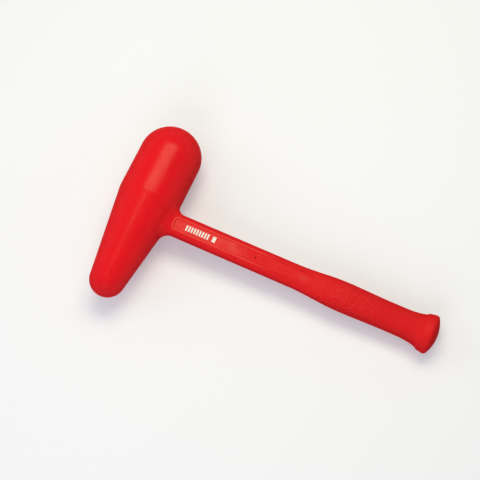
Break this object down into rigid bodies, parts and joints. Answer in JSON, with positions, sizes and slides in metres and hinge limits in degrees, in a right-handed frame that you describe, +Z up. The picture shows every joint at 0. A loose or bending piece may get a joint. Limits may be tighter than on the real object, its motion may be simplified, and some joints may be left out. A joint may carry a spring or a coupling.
{
  "type": "dead blow mallet",
  "caption": "Teardrop dead blow mallet: a round barrel head that tapers to a blunt nose, cast in one piece with its handle round a steel core, with loose shot sliding inside the head.",
  "frame": {"origin": "on the surface that the mallet lies on, under the middle of its bounding box", "axes": "+X from the head along the handle to the butt, +Y along the head's axis to the large end, +Z up, with the mallet lying on its side on its barrel and the rim of its butt"},
  "size_m": [0.3436, 0.189, 0.0635],
  "materials": {
    "red_urethane": "satin moulded urethane, smooth on the head, with a fine grain on the grip",
    "white_ink": "printed ink",
    "mild_steel": "drawn tube and bar, dull",
    "weld_steel": "rippled weld bead",
    "shot_steel": "tumbled balls",
    "zinc_steel": "zinc plated"
  },
  "bodies": {
    "mallet": {"cast_body": "red_urethane", "canister_tube": "mild_steel", "large_cap": "mild_steel", "small_cap": "mild_steel", "large_cap_weld": "weld_steel", "small_cap_weld": "weld_steel", "fill_plug": "zinc_steel", "handle_rod": "mild_steel", "rod_weld": "weld_steel", "anchor_washer": "zinc_steel", "anchor_nut": "zinc_steel"},
    "shot": {"shot_charge": "shot_steel"}
  },
  "joints": [
    {"name": "shot_slide", "type": "slide", "parent": "mallet", "child": "shot", "axis": [0, -1, 0], "range_m": [0, 0.0298]}
  ]
}
